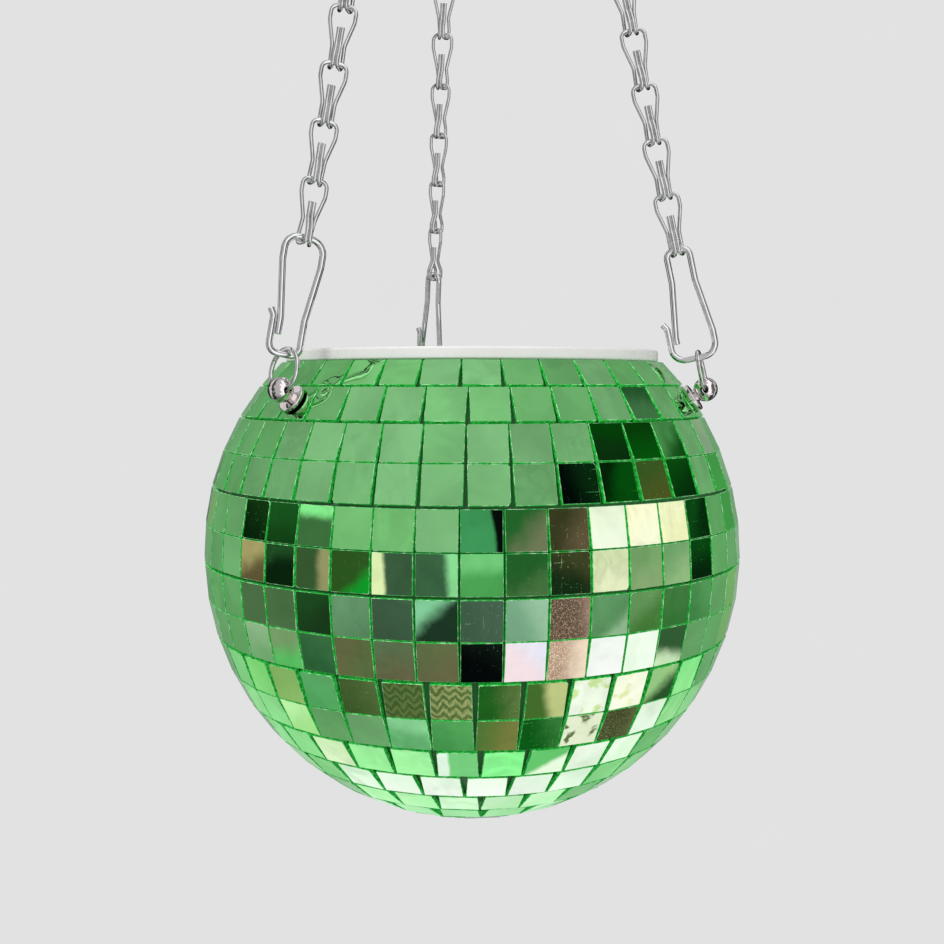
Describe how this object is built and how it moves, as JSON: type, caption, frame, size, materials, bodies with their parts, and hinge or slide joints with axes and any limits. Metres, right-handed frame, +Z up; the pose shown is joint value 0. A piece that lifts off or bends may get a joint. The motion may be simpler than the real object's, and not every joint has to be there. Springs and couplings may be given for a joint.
{
  "type": "hanging mirror ball planter",
  "caption": "Mirror-tiled hollow ball with an open top and a drop-in liner, hung from clips, wire-link chains, a ring and a swivelling hook",
  "frame": {"origin": "Saddle of the top hook, where a support bears on it; the ball hangs below.", "axes": "+Z up through the ball's centre, -Y to the front of the object, +X to its right seen from the front."},
  "size_m": [0.2008, 0.2008, 0.6313],
  "materials": {
    "mirror_tiles": "green-tinted mirror glass tiles with raw green edges, slightly scratched",
    "ball_core": "dark moulded core with adhesive in the joints",
    "liner": "white moulded plastic",
    "chain_wire": "bright plated wire",
    "clip_wire": "bright plated wire",
    "ring_wire": "bright plated wire",
    "hanger_studs": "bright plated turned brass",
    "fasteners": "zinc plated",
    "top_ring": "bright plated wire",
    "swivel": "bright plated",
    "hook": "bright plated bent rod"
  },
  "bodies": {
    "hook": {"top_hook": "hook"},
    "swivel": {"swivel_eye": "swivel"},
    "gathering_ring": {"top_ring": "top_ring"},
    "planter": {"upper_shell": "ball_core", "lower_shell": "ball_core", "tile_row_01": "mirror_tiles", "tile_row_02": "mirror_tiles", "tile_strip_03_04": "mirror_tiles", "tile_strip_05_06": "mirror_tiles", "tile_strip_07_08": "mirror_tiles", "tile_strip_09_10": "mirror_tiles", "tile_row_11": "mirror_tiles", "tile_row_12": "mirror_tiles", "tile_row_13": "mirror_tiles", "tile_row_14": "mirror_tiles", "tile_row_15": "mirror_tiles", "tile_row_16": "mirror_tiles", "tile_end": "mirror_tiles", "stud_washers": "fasteners", "stud_nuts": "fasteners", "hanger_stud_left": "hanger_studs", "hanger_stud_right": "hanger_studs", "hanger_stud_back": "hanger_studs", "chain_left_7": "chain_wire", "chain_left_8": "chain_wire", "chain_left_9": "chain_wire", "chain_right_7": "chain_wire", "chain_right_8": "chain_wire", "chain_right_9": "chain_wire", "chain_back_7": "chain_wire", "chain_back_8": "chain_wire", "chain_back_9": "chain_wire"},
    "liner": {"planter_liner": "liner"},
    "chain_left_middle": {"chain_left_4": "chain_wire", "chain_left_5": "chain_wire", "chain_left_6": "chain_wire"},
    "chain_left_lower": {"chain_left_1": "chain_wire", "chain_left_2": "chain_wire", "chain_left_3": "chain_wire"},
    "clip_left": {"clip_left": "clip_wire"},
    "ring_left": {"ring_left": "ring_wire"},
    "chain_right_middle": {"chain_right_4": "chain_wire", "chain_right_5": "chain_wire", "chain_right_6": "chain_wire"},
    "chain_right_lower": {"chain_right_1": "chain_wire", "chain_right_2": "chain_wire", "chain_right_3": "chain_wire"},
    "clip_right": {"clip_right": "clip_wire"},
    "ring_right": {"ring_right": "ring_wire"},
    "chain_back_middle": {"chain_back_4": "chain_wire", "chain_back_5": "chain_wire", "chain_back_6": "chain_wire"},
    "chain_back_lower": {"chain_back_1": "chain_wire", "chain_back_2": "chain_wire", "chain_back_3": "chain_wire"},
    "clip_back": {"clip_back": "clip_wire"},
    "ring_back": {"ring_back": "ring_wire"}
  },
  "joints": [
    {"name": "swivel_turn", "type": "hinge", "parent": "hook", "child": "swivel", "pos_m": [0, 0, -0.032], "axis": [0, 0, 1], "continuous": true},
    {"name": "ring_swing", "type": "hinge", "parent": "swivel", "child": "gathering_ring", "pos_m": [0, 0, -0.049], "axis": [1, 0, 0], "range_deg": [-30, 30]},
    {"name": "planter_swing", "type": "hinge", "parent": "gathering_ring", "child": "planter", "pos_m": [0, 0, -0.06805], "axis": [0, 1, 0], "range_deg": [-30, 30]},
    {"name": "liner_lift", "type": "slide", "parent": "planter", "child": "liner", "axis": [0, 0, 1], "range_m": [0, 0.04]},
    {"name": "chain_left_middle_twist", "type": "hinge", "parent": "planter", "child": "chain_left_middle", "pos_m": [-0.06262, -0.06111, -0.46778], "axis": [0.1523, 0.1431, 0.9779], "range_deg": [-5, 5]},
    {"name": "chain_left_lower_twist", "type": "hinge", "parent": "chain_left_middle", "child": "chain_left_lower", "pos_m": [-0.06262, -0.06111, -0.46778], "axis": [0.1523, 0.1431, 0.9779], "range_deg": [-5, 5]},
    {"name": "clip_left_twist", "type": "hinge", "parent": "chain_left_lower", "child": "clip_left", "pos_m": [-0.06262, -0.06111, -0.46778], "axis": [0.1523, 0.1431, 0.9779], "range_deg": [-5, 5]},
    {"name": "ring_left_turn", "type": "hinge", "parent": "planter", "child": "ring_left", "pos_m": [-0.06162, -0.06017, -0.46138], "axis": [-0.6999, -0.683, 0.2089], "continuous": true},
    {"name": "chain_right_middle_twist", "type": "hinge", "parent": "planter", "child": "chain_right_middle", "pos_m": [0.08394, -0.02471, -0.46778], "axis": [-0.2041, 0.0601, 0.9771], "range_deg": [-5, 5]},
    {"name": "chain_right_lower_twist", "type": "hinge", "parent": "chain_right_middle", "child": "chain_right_lower", "pos_m": [0.08394, -0.02471, -0.46778], "axis": [-0.2041, 0.0601, 0.9771], "range_deg": [-5, 5]},
    {"name": "clip_right_twist", "type": "hinge", "parent": "chain_right_lower", "child": "clip_right", "pos_m": [0.08394, -0.02471, -0.46778], "axis": [-0.2041, 0.0601, 0.9771], "range_deg": [-5, 5]},
    {"name": "ring_right_turn", "type": "hinge", "parent": "planter", "child": "ring_right", "pos_m": [0.0826, -0.02431, -0.46138], "axis": [0.9373, -0.2759, 0.2128], "continuous": true},
    {"name": "chain_back_middle_twist", "type": "hinge", "parent": "planter", "child": "chain_back_middle", "pos_m": [-0.01938, 0.08532, -0.46778], "axis": [0.0472, -0.202, 0.9782], "range_deg": [-5, 5]},
    {"name": "chain_back_lower_twist", "type": "hinge", "parent": "chain_back_middle", "child": "chain_back_lower", "pos_m": [-0.01938, 0.08532, -0.46778], "axis": [0.0472, -0.202, 0.9782], "range_deg": [-5, 5]},
    {"name": "clip_back_twist", "type": "hinge", "parent": "chain_back_lower", "child": "clip_back", "pos_m": [-0.01938, 0.08532, -0.46778], "axis": [0.0472, -0.202, 0.9782], "range_deg": [-5, 5]},
    {"name": "ring_back_turn", "type": "hinge", "parent": "planter", "child": "ring_back", "pos_m": [-0.01908, 0.084, -0.46137], "axis": [-0.2167, 0.9539, 0.2075], "continuous": true}
  ]
}
